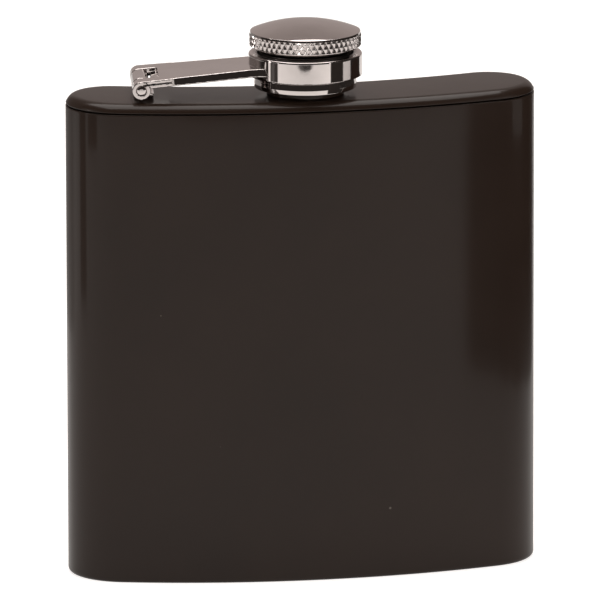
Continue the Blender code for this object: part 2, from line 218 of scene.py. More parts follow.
def add_piece(name, points, faces, sharp=35, place=None):
    """Makes an object from points and faces, smooth but for edges sharper than the angle."""
    mesh = bpy.data.meshes.new(name)
    mesh.from_pydata([tuple(p) for p in points], [], faces)
    if place is not None:
        mesh.transform(place)
    mesh.update()
    mesh.shade_smooth()
    mesh.set_sharp_from_angle(angle=math.radians(sharp))
    piece = bpy.data.objects.new(name, mesh)
    bpy.context.scene.collection.objects.link(piece)
    return piece


def skin(rings, closed):
    """Quads between neighbouring rings of points. Closed joins the last ring to the first; else
    a ring of one point is a pole and a longer end ring gets a cap."""
    points = []
    starts = []
    for ring in rings:
        starts.append(len(points))
        points += [tuple(p) for p in ring]
    faces = []
    pairs = list(zip(range(len(rings)), range(1, len(rings))))
    if closed:
        pairs.append((len(rings) - 1, 0))
    for low, high in pairs:
        count = max(len(rings[low]), len(rings[high]))
        for i in range(count):
            j = (i + 1) % count
            if len(rings[low]) == 1:
                faces.append((starts[low], starts[high] + j, starts[high] + i))
            elif len(rings[high]) == 1:
                faces.append((starts[low] + i, starts[low] + j, starts[high]))
            else:
                faces.append((
                    starts[low] + i, starts[low] + j, starts[high] + j, starts[high] + i
                ))
    if not closed:
        if len(rings[0]) > 1:
            faces.append(tuple(range(len(rings[0])))[::-1])
        if len(rings[-1]) > 1:
            faces.append(tuple(range(starts[-1], starts[-1] + len(rings[-1]))))
    return points, faces


def arc(centre, radius, start, end, steps):
    """Points on an arc, both ends included; angles in degrees."""
    turns = np.radians(np.linspace(start, end, steps + 1))
    return [(centre[0] + radius * math.cos(t), centre[1] + radius * math.sin(t)) for t in turns]


def rounded(corners, steps=6):
    """A line through (r, z, radius) corners, each rounded by its own radius."""
    line = []
    for before, here, after in zip([None, *corners[:-1]], corners, [*corners[1:], None]):
        point = Vector(here[:2])
        if before is None or after is None or here[2] == 0:
            line.append(tuple(point))
            continue
        back = (Vector(before[:2]) - point).normalized()
        ahead = (Vector(after[:2]) - point).normalized()
        half = back.angle(ahead) / 2
        centre = point + (back + ahead).normalized() * here[2] / math.sin(half)
        start = point + back * here[2] / math.tan(half) - centre
        end = point + ahead * here[2] / math.tan(half) - centre
        turn = start.angle_signed(end)
        for i in range(steps + 1):
            line.append(tuple(centre + Matrix.Rotation(-turn * i / steps, 2) @ start))
    return line


def refined(line, step):
    """The same line with no stretch longer than the step."""
    fine = [line[0]]
    for start, end in zip(line, line[1:]):
        count = max(1, math.ceil(math.dist(start, end) / step))
        for i in range(1, count + 1):
            fine.append(tuple(Vector(start).lerp(Vector(end), i / count)))
    return fine


def turned(name, profile, steps, relief=None, closed=False, axis=NECK_AXIS):
    """Turns an (r, z) profile about an upright axis. It runs down its outer side. Relief gives
    how far the surface stands out at (turn, r, z)."""
    turns = np.linspace(0, math.tau, steps, endpoint=False)
    rings = []
    for r, z in profile:
        if r < 1e-7:
            rings.append([(axis.x, axis.y, axis.z + z)])
            continue
        reach = np.full(steps, r)
        if relief:
            reach = reach + relief(turns, r, z)
        rings.append(np.column_stack((
            axis.x + reach * np.cos(turns),
            axis.y + reach * np.sin(turns),
            np.full(steps, axis.z + z),
        )))
    return skin(rings[::-1], closed)


def ease(low, high, value):
    share = np.clip((value - low) / (high - low), 0, 1)
    return share * share * (3 - 2 * share)


# Solids given by fields, which are negative inside

def both(a, b, radius):
    """What lies in a and in b, with the edge between them rounded."""
    corner = np.hypot(np.maximum(a + radius, 0), np.maximum(b + radius, 0))
    return np.minimum(np.maximum(a, b), -radius) + corner


def either(a, b, radius):
    """What lies in a or in b, with a fillet between them."""
    corner = np.hypot(np.maximum(radius - a, 0), np.maximum(radius - b, 0))
    return np.maximum(np.minimum(a, b), radius) - corner


def slope_of(field, points, step=0.004 * MM):
    """Gradient of the field at each point."""
    parts = []
    for axis in np.eye(3) * step:
        parts.append((field(*(points + axis).T) - field(*(points - axis).T)) / (2 * step))
    return np.column_stack(parts)


def settle(field, points):
    """Moves points onto the surface of the field."""
    for _ in range(3):
        slope = slope_of(field, points)
        steepness = np.maximum((slope**2).sum(1), 0.05)
        points = points - slope * (field(*points.T) / steepness)[:, None]
    return points


def relaxed(points, quads):
    """Each point at the middle of its neighbours."""
    total = np.zeros_like(points)
    count = np.zeros(len(points))
    for i in range(4):
        for j in ((i + 1) % 4, (i + 3) % 4):
            np.add.at(total, quads[:, i], points[quads[:, j]])
            np.add.at(count, quads[:, i], 1)
    return total / count[:, None]


def carved(name, field, low, high, cell, place):
    """Skins the surface of a field with quads, one point in each cell that it crosses."""
    axes = [np.arange(a - cell, b + 2 * cell, cell) for a, b in zip(low, high)]
    grid = np.meshgrid(*axes, indexing="ij")
    inside = field(*grid) < 0
    corners = [
        inside[i:inside.shape[0] - 1 + i, j:inside.shape[1] - 1 + j, k:inside.shape[2] - 1 + k]
        for i in (0, 1) for j in (0, 1) for k in (0, 1)
    ]
    filled = sum(c.astype(int) for c in corners)
    crossed = (filled > 0) & (filled < 8)
    number = np.full(crossed.shape, -1)
    number[crossed] = np.arange(crossed.sum())
    origin = np.array([a[0] for a in axes])
    points = origin + (np.argwhere(crossed) + 0.5) * cell
    quads = []
    for axis in range(3):
        u, v = (axis + 1) % 3, (axis + 2) % 3
        near = np.moveaxis(inside, (axis, u, v), (0, 1, 2))
        cells = np.moveaxis(number, (axis, u, v), (0, 1, 2))
        first = near[:-1, 1:-1, 1:-1]
        last = near[1:, 1:-1, 1:-1]
        around = [cells[:, :-1, :-1], cells[:, 1:, :-1], cells[:, 1:, 1:], cells[:, :-1, 1:]]
        leaving = first & ~last
        entering = ~first & last
        quads.append(np.column_stack([c[leaving] for c in around]))
        quads.append(np.column_stack([c[entering] for c in around[::-1]]))
    quads = np.concatenate(quads)
    points = settle(field, points)
    for _ in range(2):
        points = settle(field, relaxed(points, quads))
    piece = add_piece(name, points, quads.tolist(), 180, place)
    normals = slope_of(field, points)
    normals /= np.linalg.norm(normals, axis=1)[:, None]
    turn = np.array(place.to_3x3())
    piece.data.normals_split_custom_set_from_vertices((normals @ turn.T).tolist())
    return piece


# Node tools

class Graph:
    """Adds nodes to a tree and links what it is given."""

    def __init__(self, tree):
        self.tree = tree

    def put(self, socket, value):
        if isinstance(value, bpy.types.NodeSocket):
            self.tree.links.new(value, socket)
        else:
            socket.default_value = value

    def add(self, kind, inputs=None, **settings):
        node = self.tree.nodes.new(kind)
        for key, value in settings.items():
            setattr(node, key, value)
        for key, value in (inputs or {}).items():
            self.put(node.inputs[key], value)
        return node

    def calc(self, operation, *values):
        node = self.add("ShaderNodeMath", dict(enumerate(values)), operation=operation)
        return node.outputs[0]

    def ramp(self, value, low, high, to_low=0.0, to_high=1.0):
        """Smooth step of a value between two levels."""
        inputs = {0: value, 1: low, 2: high, 3: to_low, 4: to_high}
        node = self.add("ShaderNodeMapRange", inputs, interpolation_type="SMOOTHSTEP")
        return node.outputs[0]

    def blend(self, factor, a, b):
        node = self.add("ShaderNodeMix", {0: factor, 6: a, 7: b}, data_type="RGBA")
        return node.outputs[2]

    def stretch(self, vector, scale, turn=(0, 0, 0)):
        inputs = {"Vector": vector, "Rotation": turn, "Scale": scale}
        return self.add("ShaderNodeMapping", inputs).outputs[0]

    def noise(self, vector, scale, detail=2.0, roughness=0.5):
        inputs = {"Vector": vector, "Scale": scale, "Detail": detail, "Roughness": roughness}
        return self.add("ShaderNodeTexNoise", inputs).outputs[0]

    def place(self, group, inputs):
        """A node group with its own values."""
        node = self.tree.nodes.new("ShaderNodeGroup")
        node.node_tree = group
        for key, value in inputs.items():
            self.put(node.inputs[key], value)
        return node.outputs[0]


def new_group(name, inputs, output):
    """A shader group with float inputs beside its Vector, and one float output."""
    tree = bpy.data.node_groups.new(name, "ShaderNodeTree")
    tree.interface.new_socket("Vector", in_out="INPUT", socket_type="NodeSocketVector")
    for label, value in inputs.items():
        socket = tree.interface.new_socket(label, in_out="INPUT", socket_type="NodeSocketFloat")
        socket.default_value = value
    tree.interface.new_socket(output, in_out="OUTPUT", socket_type="NodeSocketFloat")
    source = tree.nodes.new("NodeGroupInput").outputs
    sink = tree.nodes.new("NodeGroupOutput").inputs[0]
    return tree, Graph(tree), source, sink


def dust_group():
    """A few small round specks, each with its own size."""
    tree, graph, source, sink = new_group("dust specks", {"Scale": 300, "Share": 0.1}, "Mask")
    cells = graph.add("ShaderNodeTexVoronoi", {"Vector": source["Vector"], "Scale": source["Scale"]})
    chance = graph.add("ShaderNodeSeparateColor", {0: cells.outputs["Color"]}).outputs
    chosen = graph.calc("LESS_THAN", chance[0], source["Share"])
    size = graph.calc("MULTIPLY_ADD", chance[1], 0.06, 0.015)
    speck = graph.calc("LESS_THAN", cells.outputs["Distance"], size)
    graph.put(sink, graph.calc("MULTIPLY", chosen, speck))
    return tree


def scratch_group():
    """A few short straight hairlines, each across the middle of its own cell."""
    floats = {"Scale": 60, "Width": 0.01, "Share": 0.1}
    tree, graph, source, sink = new_group("hairlines", floats, "Mask")
    lines = []
    for turn in ((0.2, 0.3, 0.5), (0.9, -0.4, -0.8)):
        along = graph.stretch(source["Vector"], (1, 0.12, 1), turn)
        inputs = {"Vector": along, "Scale": source["Scale"], "Randomness": 0.8}
        cells = graph.add("ShaderNodeTexVoronoi", inputs)
        chance = graph.add("ShaderNodeSeparateColor", {0: cells.outputs["Color"]}).outputs
        chosen = graph.calc("LESS_THAN", chance[0], source["Share"])
        line = graph.calc("LESS_THAN", cells.outputs["Distance"], source["Width"])
        lines.append(graph.calc("MULTIPLY", line, chosen))
    graph.put(sink, graph.calc("MAXIMUM", *lines))
    return tree


def smudge_group():
    """Soft cloudy patches."""
    tree, graph, source, sink = new_group("smudges", {"Scale": 60, "Contrast": 0.2}, "Mask")
    cloud = graph.noise(source["Vector"], source["Scale"], 4, 0.6)
    low = graph.calc("SUBTRACT", 0.5, source["Contrast"])
    high = graph.calc("ADD", 0.5, source["Contrast"])
    graph.put(sink, graph.ramp(cloud, low, high))
    return tree


def grain_group():
    """Fine surface texture, as a height."""
    tree, graph, source, sink = new_group("grain", {"Scale": 1500, "Coarse": 0.5}, "Height")
    fine = graph.noise(source["Vector"], source["Scale"], 2)
    broad = graph.noise(source["Vector"], graph.calc("MULTIPLY", source["Scale"], 0.22), 1)
    graph.put(sink, graph.calc("MULTIPLY_ADD", broad, source["Coarse"], fine))
    return tree


def wear_group():
    """Edges, where a finish rubs thin."""
    tree, graph, source, sink = new_group("rubbed edges", {"Start": 0.53, "End": 0.6}, "Mask")
    bend = graph.add("ShaderNodeNewGeometry").outputs["Pointiness"]
    edge = graph.ramp(bend, source["Start"], source["End"])
    broken = graph.ramp(graph.noise(source["Vector"], 900, 3), 0.42, 0.6)
    graph.put(sink, graph.calc("MULTIPLY", edge, broken))
    return tree


def turning_group():
    """Fine tool lines round an upright axis, as a height."""
    tree, graph, source, sink = new_group("turning lines", {"Pitch": 6000}, "Height")
    parts = graph.add("ShaderNodeSeparateXYZ", {0: source["Vector"]}).outputs
    across = graph.calc("SUBTRACT", parts[1], NECK_Y)
    radius = graph.calc("SQRT", graph.calc("ADD", graph.calc("MULTIPLY", parts[0], parts[0]),
                                           graph.calc("MULTIPLY", across, across)))
    profile = graph.add("ShaderNodeCombineXYZ", {0: radius, 1: parts[2]}).outputs[0]
    graph.put(sink, graph.noise(profile, source["Pitch"], 2))
    return tree


# Colours of the finishes
PAINT_BROWN = (0.0152, 0.0088, 0.006, 1)
PAINT_BROWNER = (0.0182, 0.0106, 0.0073, 1)
PAINT_THIN = (0.06, 0.045, 0.038, 1)
PAINT_SCRATCHED = (0.07, 0.06, 0.055, 1)
DUST_PALE = (0.2, 0.175, 0.15, 1)
CHROME = (0.66, 0.615, 0.6, 1)
CHROME_DULL = (0.5, 0.46, 0.44, 1)
CHROME_PIT = (0.12, 0.1, 0.095, 1)
# Painted shade: the darker colour laid in the knurl's grooves.
CHROME_GROOVE_SHADE = (0.2, 0.175, 0.16, 1)
# Painted shade: the dark colour laid on chrome in recesses and where pieces meet, and how far the
# occlusion looks for them.
PAINTED_SHADE_COLOUR = (0.05, 0.042, 0.038, 1)
PAINTED_SHADE_REACH = 1.8 * MM
RIPPLE_DEPTH = 0.004 * MM
STEEL_DULL = (0.5, 0.485, 0.465, 1)
STEEL_BRIGHT = (0.58, 0.565, 0.545, 1)
STEEL_RUBBED = (0.72, 0.7, 0.68, 1)
SILICONE_DULL = (0.74, 0.735, 0.69, 1)
SILICONE_CLEAN = (0.82, 0.815, 0.78, 1)

DUST = dust_group()
HAIRLINES = scratch_group()
SMUDGES = smudge_group()
GRAIN = grain_group()
RUBBED = wear_group()
TURNING = turning_group()


def new_material(name, **sockets):
    """A Principled material. What is the same all over is set on its own sockets."""
    material = bpy.data.materials.new(name)
    material.use_nodes = True
    shader = material.node_tree.nodes["Principled BSDF"]
    for label, value in sockets.items():
        shader.inputs[label.replace("_", " ")].default_value = value
    graph = Graph(material.node_tree)
    where = graph.add("ShaderNodeTexCoord").outputs["Object"]
    return material, graph, shader.inputs, where


def bump(graph, height, distance, strength):
    inputs = {"Height": height, "Distance": distance, "Strength": strength}
    return graph.add("ShaderNodeBump", inputs).outputs[0]


def satin_black():
    """Stoved satin paint: a fine orange peel, dust, a rare hairline and browner, thinner edges."""
    material, graph, sockets, where = new_material("satin black paint")
    sockets["Specular IOR Level"].default_value = 0.09
    sockets["Coat Weight"].default_value = 0.3
    sockets["Coat Roughness"].default_value = 0.1
    smudge = graph.place(SMUDGES, {"Vector": where, "Scale": 35, "Contrast": 0.22})
    scratch = graph.place(HAIRLINES, {"Vector": where, "Scale": 150, "Width": 0.03, "Share": 0.02})
    dust = graph.place(DUST, {"Vector": where, "Scale": 260, "Share": 0.05})
    edge = graph.place(RUBBED, {"Vector": where, "Start": 0.52, "End": 0.62})
    colour = graph.blend(smudge, PAINT_BROWN, PAINT_BROWNER)
    colour = graph.blend(graph.calc("MULTIPLY", edge, 0.4), colour, PAINT_THIN)
    colour = graph.blend(graph.calc("MULTIPLY", scratch, 0.5), colour, PAINT_SCRATCHED)
    colour = graph.blend(graph.calc("MULTIPLY", dust, 0.5), colour, DUST_PALE)
    graph.put(sockets["Base Color"], colour)
    rough = graph.calc("MULTIPLY_ADD", smudge, 0.04, 0.33)
    graph.put(sockets["Roughness"], graph.calc("MULTIPLY_ADD", dust, 0.3, rough))
    peel = graph.place(GRAIN, {"Vector": where, "Scale": 1700, "Coarse": 1.6})
    graph.put(sockets["Normal"], bump(graph, peel, RIPPLE_DEPTH, 0.6))
    return material


def recess_shade(graph):
    """How deep in a corner or between pieces a point is, from ambient occlusion, as the mask for
    painted shade.
    """
    hidden = graph.add("ShaderNodeAmbientOcclusion", {"Distance": PAINTED_SHADE_REACH}, samples=6)
    return graph.ramp(hidden.outputs["AO"], 0.5, 0.12)


def bright_chrome():
    """Mirror plating with a slight ripple, a few pits, handling marks, and painted shade that darkens
    and dulls its recesses.
    """
    material, graph, sockets, where = new_material("bright chrome", Metallic=1.0)
    smudge = graph.place(SMUDGES, {"Vector": where, "Scale": 160, "Contrast": 0.16})
    scratch = graph.place(HAIRLINES, {"Vector": where, "Scale": 500, "Width": 0.05, "Share": 0.06})
    pits = graph.place(DUST, {"Vector": where, "Scale": 420, "Share": 0.03})
    colour = graph.blend(graph.calc("MULTIPLY", smudge, 0.25), CHROME, CHROME_DULL)
    colour = graph.blend(graph.calc("MULTIPLY", pits, 0.7), colour, CHROME_PIT)
    # Painted shade: ambient occlusion darkens the base colour in recesses and between pieces, and
    # roughens it there too.
    painted_shade = recess_shade(graph)
    graph.put(sockets["Base Color"], graph.blend(graph.calc("MULTIPLY", painted_shade, 0.9), colour, PAINTED_SHADE_COLOUR))
    rough = graph.calc("MULTIPLY_ADD", smudge, 0.03, 0.02)
    rough = graph.calc("MULTIPLY_ADD", painted_shade, 0.3, rough)
    graph.put(sockets["Roughness"], graph.calc("MULTIPLY_ADD", scratch, 0.12, rough))
    ripple = graph.place(GRAIN, {"Vector": where, "Scale": 420, "Coarse": 2.0})
    graph.put(sockets["Normal"], bump(graph, ripple, RIPPLE_DEPTH, 0.35))
    return material


def knurled_chrome():
    """The same plating on the knurl, plain on the points, with painted shade darkening and dulling
    the grooves.
    """
    material, graph, sockets, where = new_material("knurled chrome", Metallic=1.0)
    bend = graph.add("ShaderNodeNewGeometry").outputs["Pointiness"]
    # Painted shade: the knurl's grooves, found by pointiness, get a darker base colour and more
    # roughness.
    groove = graph.ramp(bend, 0.48, 0.38)
    painted_shade = graph.calc("MULTIPLY", groove, graph.noise(where, 700, 3))
    graph.put(sockets["Base Color"], graph.blend(painted_shade, CHROME, CHROME_GROOVE_SHADE))
    graph.put(sockets["Roughness"], graph.calc("MULTIPLY_ADD", painted_shade, 0.3, 0.19))
    grain = graph.place(GRAIN, {"Vector": where, "Scale": 2600, "Coarse": 0.5})
    graph.put(sockets["Normal"], bump(graph, grain, 0.006 * MM, 0.4))
    return material


def turned_steel():
    """Plain machined steel, with tool lines round the axis and rubbed thread crests."""
    material, graph, sockets, where = new_material("turned steel", Metallic=1.0)
    smudge = graph.place(SMUDGES, {"Vector": where, "Scale": 220, "Contrast": 0.2})
    edge = graph.place(RUBBED, {"Vector": where, "Start": 0.51, "End": 0.58})
    colour = graph.blend(smudge, STEEL_DULL, STEEL_BRIGHT)
    colour = graph.blend(edge, colour, STEEL_RUBBED)
    graph.put(sockets["Base Color"], colour)
    lines = graph.place(TURNING, {"Vector": where, "Pitch": 9000})
    graph.put(sockets["Roughness"], graph.calc("MULTIPLY_ADD", lines, 0.2, 0.17))
    graph.put(sockets["Normal"], bump(graph, lines, RIPPLE_DEPTH, 0.6))
    return material


def milky_silicone():
    """Translucent matt seal, marked where it presses on the neck."""
    material, graph, sockets, where = new_material("milky silicone", IOR=1.41)
    sockets["Subsurface Weight"].default_value = 0.4
    sockets["Subsurface Radius"].default_value = (0.0012, 0.0011, 0.0009)
    smudge = graph.place(SMUDGES, {"Vector": where, "Scale": 300, "Contrast": 0.25})
    colour = graph.blend(smudge, SILICONE_DULL, SILICONE_CLEAN)
    graph.put(sockets["Base Color"], colour)
    graph.put(sockets["Roughness"], graph.calc("MULTIPLY_ADD", smudge, 0.12, 0.42))
    grain = graph.place(GRAIN, {"Vector": where, "Scale": 3000, "Coarse": 0.6})
    graph.put(sockets["Normal"], bump(graph, grain, 0.01 * MM, 0.4))
    return material


def finish(piece, body, slot, node, *materials):
    """Gives a piece its materials and hangs it on its body, hiding the CAD node that it stands for.
    The slot is not used.
    """
    for material in materials:
        piece.data.materials.append(material)
    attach(piece, body)
    if node:
        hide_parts(node)
    return piece


# Body

def body_section(inset):
    """Outline of the bent, round-ended body section, inset from its face."""
    half_thick = BODY_THICKNESS / 2
    back_corner = BODY_THICKNESS - FRONT_CORNER
    corner_height = FRONT_CORNER - half_thick
    half_long = BEND_RADIUS * math.asin(
        (BODY_WIDTH / 2 - FRONT_CORNER) / (BEND_RADIUS - corner_height)
    ) + FRONT_CORNER
    front = FRONT_CORNER - inset
    back = back_corner - inset
    front_end = half_long - FRONT_CORNER
    back_end = half_long - back_corner
    shares = np.linspace(-1, 1, SIDE_STEPS + 1)
    flat = [(front_end * share, inset - half_thick) for share in shares[:-1]]
    flat += arc((front_end, corner_height), front, -90, 0, CORNER_STEPS)
    flat += arc((back_end, corner_height), back, 0, 90, CORNER_STEPS)[1:]
    flat += [(-back_end * share, half_thick - inset) for share in shares[1:-1]]
    flat += arc((-back_end, corner_height), back, 90, 180, CORNER_STEPS)
    flat += arc((-front_end, corner_height), front, 180, 270, CORNER_STEPS)[1:-1]
    along, across = np.array(flat).T
    angle = along / BEND_RADIUS
    reach = BEND_RADIUS - across
    return np.column_stack((reach * np.sin(angle), NECK_Y + BEND_RADIUS - reach * np.cos(angle)))


def body_rings(stations):
    """Section outlines at (inset, height) stations."""
    rings = []
    for inset, height in stations:
        outline = body_section(inset)
        rings.append(np.column_stack((outline, np.full(len(outline), height))))
    return rings


def sleeve(paint):
    """The drawn wall, with a soft edge at the seam and its foot turned in under it."""
    top = PLATE_TOP - SEAM_DROP - GAP
    stations = rounded([
        (FOOT_LIP, 0, 0),
        (0, 0, FOOT_FILLET),
        (0, top, SEAM_ROUND),
        (SHEET, top, SEAM_ROUND / 2),
        (SHEET, SHEET, FOOT_FILLET - SHEET),
        (FOOT_LIP, SHEET, 0),
    ], 8)
    points, faces = skin(body_rings(refined(stations, WALL_STEP))[::-1], True)
    piece = add_piece("sleeve", points, faces)
    finish(piece, "flask", "black_paint", "body_sleeve", paint)


def foot_plate(paint):
    """The flat foot, let in flush inside the sleeve's lip."""
    inset = FOOT_LIP + GAP
    stations = rounded([
        (inset + FOOT_PLATE_REACH, FOOT_STEP, 0),
        (inset + 1.5 * FOOT_STEP_INSET, FOOT_STEP, FOOT_STEP_ROUND),
        (inset + FOOT_STEP_INSET, 0, FOOT_STEP_ROUND),
        (inset, 0, 0.12 * MM),
        (inset, SHEET, 0.12 * MM),
        (inset + FOOT_PLATE_REACH, SHEET, 0),
    ])
    points, faces = skin(body_rings(stations), False)
    piece = add_piece("foot_plate", points, faces)
    finish(piece, "flask", "black_paint", "bottom_plate", paint)


def top_pan(paint):
    """The pressed pan that closes the sleeve, very slightly crowned, with a hole for the neck."""
    seam = PLATE_TOP - SEAM_DROP
    edge = TOP_FILLET - math.sqrt(TOP_FILLET**2 - (TOP_FILLET - SEAM_DROP) ** 2)
    hole = NECK_RADIUS + GAP
    outer = [(SHEET, seam), (edge + SEAM_ROUND, seam)]
    outer += arc((edge + SEAM_ROUND, seam + SEAM_ROUND), SEAM_ROUND, 270, 180, 5)
    start = math.degrees(math.asin((TOP_FILLET - SEAM_DROP + SEAM_ROUND) / TOP_FILLET))
    centre = (TOP_FILLET, PLATE_TOP - TOP_FILLET)
    outer += arc(centre, TOP_FILLET, 180 - start, 90, 14)
    inner = arc(centre, TOP_FILLET - SHEET, 90, 180 - start, 6)
    shares = np.linspace(0, 1, 16)[1:]
    outer_rings = body_rings(outer)
    inner_rings = body_rings(inner)
    rim = outer_rings[-1]
    turns = np.arctan2(rim[:, 1] - NECK_Y, rim[:, 0] / 3)
    circle = np.column_stack((
        hole * np.cos(turns), NECK_Y + hole * np.sin(turns), np.full(len(turns), PLATE_TOP)
    ))
    top_rings = [rim + (circle - rim) * share for share in shares]
    under = inner_rings[0]
    low_circle = circle - (0, 0, SHEET)
    under_rings = [low_circle + (under - low_circle) * share for share in np.linspace(0, 1, 5)[:-1]]
    rings = outer_rings + top_rings + under_rings + inner_rings
    points, faces = skin(rings[::-1], True)
    points = np.array(points)
    points[:, 2] -= crown_drop(points)
    piece = add_piece("top_pan", points, faces)
    finish(piece, "flask", "black_paint", "top_plate", paint)


def crown_drop(points):
    """How far the plate lies below its crown, which runs along the bent centreline."""
    centre_y = NECK_Y + BEND_RADIUS
    off_line = np.hypot(points[:, 0], points[:, 1] - centre_y) - BEND_RADIUS
    share = np.clip(off_line / (BODY_THICKNESS / 2), -1, 1)
    near_top = ease(PLATE_TOP - TOP_FILLET, PLATE_TOP, points[:, 2])
    return PLATE_CROWN * share**2 * near_top


# Neck

def thread(amount, phase, low, high):
    """Relief of a rolled thread between two heights."""
    def relief(turns, r, z):
        place = (z / THREAD_PITCH - turns / math.tau + phase) % 1
        ridge = ease(*THREAD_RISE, place) - ease(*THREAD_FALL, place)
        fade = ease(low, low + 0.4 * THREAD_PITCH, z) * (1 - ease(high - 0.3 * THREAD_PITCH, high, z))
        return amount * ridge * fade
    return relief


def neck(steel, paint):
    """The spout with its rolled outside thread, and the painted collar that it seats on."""
    bore = NECK_RADIUS - NECK_WALL
    root = NECK_RADIUS - THREAD_DEPTH / 2
    low = COLLAR_TOP + 0.2 * MM
    cut = thread(THREAD_DEPTH, 0, low, NECK_TOP - 0.3 * MM)
    profile = rounded([
        (bore, NECK_FOOT, 0),
        (bore, NECK_TOP, FULL),
        (root, NECK_TOP, 0.35 * MM),
        (root, NECK_FOOT, SOFT),
        (bore, NECK_FOOT, 0),
    ])[:-1]
    profile = refined(profile, THREAD_STEP)

    def relief(turns, r, z):
        return cut(turns, r, z) if r > root - 0.01 * MM else np.zeros(len(turns))

    points, faces = turned("neck", profile, TURN_STEPS, relief, True)
    piece = add_piece("threaded_neck", points, faces, 60)
    finish(piece, "flask", "bare_steel", "neck", steel)
    inner = NECK_RADIUS + 0.02 * MM
    collar = rounded([
        (inner, PLATE_TOP + GAP / 2, 0),
        (inner, COLLAR_TOP, CRISP),
        (COLLAR_RADIUS, COLLAR_TOP, FULL),
        (COLLAR_RADIUS, PLATE_TOP + GAP / 2, CRISP),
        (inner, PLATE_TOP + GAP / 2, 0),
    ])[:-1]
    points, faces = turned("neck_collar", collar, TURN_STEPS, None, True)
    finish(add_piece("neck_collar", points, faces), "flask", "black_paint", None, paint)


# Cap

def dome(edge_radius, edge_height, top, steps):
    """Profile of a shallow dome, from the axis to its edge."""
    rise = top - edge_height
    sphere = (edge_radius**2 + rise**2) / (2 * rise)
    half_angle = math.degrees(math.asin(edge_radius / sphere))
    return [(0, top)] + arc((0, top - sphere), sphere, 90, 90 - half_angle, steps)[1:]


def diamond_knurl(turns, r, z):
    """Crossed grooves round the crown's wall."""
    if r < HEAD_RADIUS - 0.02 * MM:
        return np.zeros(len(turns))
    across = turns / math.tau * KNURL_ROWS
    up = (z - HEAD_FOOT) / KNURL_RISE
    one = 1 - 2 * np.abs((across + up) % 1 - 0.5)
    other = 1 - 2 * np.abs((across - up) % 1 - 0.5)
    point = np.minimum(np.minimum(one, other) / (1 - KNURL_CREST), 1)
    return -KNURL_DEPTH * (1 - point)


def crown(chrome, knurled):
    """The cap's head: a polished dome over a knurled wall, crimped in under the spool's rim."""
    low = HEAD_FOOT + KNURL_MARGIN
    high = HEAD_EDGE - KNURL_MARGIN
    lip = HEAD_RADIUS - KNURL_MARGIN
    edge = lip - SHOULDER_WIDTH
    brow = HEAD_EDGE + SHOULDER_DROP
    profile = dome(edge, brow, DOME_TOP, 22)
    slope = math.atan2(profile[-2][1] - brow, edge - profile[-2][0])
    centre = (edge - SHOULDER_ROUND * math.sin(slope), brow - SHOULDER_ROUND * math.cos(slope))
    profile += arc(centre, SHOULDER_ROUND, 90 - math.degrees(slope), 10, 10)[1:]
    profile += [(HEAD_RADIUS - KNURL_EDGE_STEP, HEAD_EDGE - KNURL_EDGE_DROP)]
    rows = KNURL_STEPS_UP * round((high - low) / KNURL_RISE)
    profile += [(HEAD_RADIUS, z) for z in np.linspace(high, low, rows + 1)]
    bore = SPOOL_RIM_RADIUS + GAP
    throat = WAIST_RADIUS + GAP
    profile += rounded([
        (HEAD_RADIUS - KNURL_EDGE_STEP, HEAD_FOOT + KNURL_EDGE_DROP, 0),
        (lip, HEAD_FOOT, CRISP),
        (throat, HEAD_FOOT, SOFT),
        (throat, HEAD_FOOT + CRIMP, EASED),
        (bore, HEAD_FOOT + CRIMP, 0),
    ])
    roof = SPOOL_TOP + GAP
    profile += dome(bore, roof, DOME_TOP - HEAD_WALL, 10)[::-1]
    points, faces = turned("crown", profile, KNURL_STEPS_ACROSS * KNURL_ROWS, diamond_knurl)
    piece = add_piece("knurled_crown", points, faces, 40)
    finish(piece, "cap", "chrome", "cap_head", chrome, knurled)
    for face in piece.data.polygons:
        centre = face.center
        reach = math.hypot(centre.x, centre.y - NECK_Y)
        if reach > HEAD_RADIUS - KNURL_DEPTH - 0.05 * MM and HEAD_FOOT < centre.z < HEAD_EDGE:
            face.material_index = 1


SPOOL_RIM_RADIUS = WAIST_RADIUS + SPOOL_RIM
SPOOL_BORE = LINER_RADIUS + GAP
SPOOL_CEILING = SPOOL_TOP - SPOOL_ROOF


def spool(chrome):
    """The waist that turns in the ring, flared under the head and into the retaining flange."""
    profile = rounded([
        (0, SPOOL_TOP, 0),
        (SPOOL_RIM_RADIUS, SPOOL_TOP, EASED),
        (SPOOL_RIM_RADIUS, SPOOL_CEILING, EASED),
        (WAIST_RADIUS, SPOOL_CEILING, SOFT),
        (WAIST_RADIUS, HEAD_FOOT - FLARE_LIP, FLARE_LIP),
        (WAIST_RADIUS + FLARE_WIDTH, HEAD_FOOT - FLARE_LIP, FLARE_LIP),
        (WAIST_RADIUS, HEAD_FOOT - FLARE_FOOT, SOFT),
        (WAIST_RADIUS, FLANGE_TOP, FULL),
        (FLANGE_RADIUS - FLANGE_LEAN, FLANGE_TOP, 0.12 * MM),
        (FLANGE_RADIUS, CAP_FOOT + FLANGE_BEND, SOFT),
        (FLANGE_RADIUS - 0.06 * MM, CAP_FOOT, SOFT),
        (SPOOL_BORE, CAP_FOOT, EASED),
        (SPOOL_BORE, SPOOL_CEILING, CRISP),
        (0, SPOOL_CEILING, 0),
    ])
    points, faces = turned("spool", profile, SPOOL_STEPS)
    finish(add_piece("flanged_spool", points, faces), "cap", "chrome", "cap_spool", chrome)


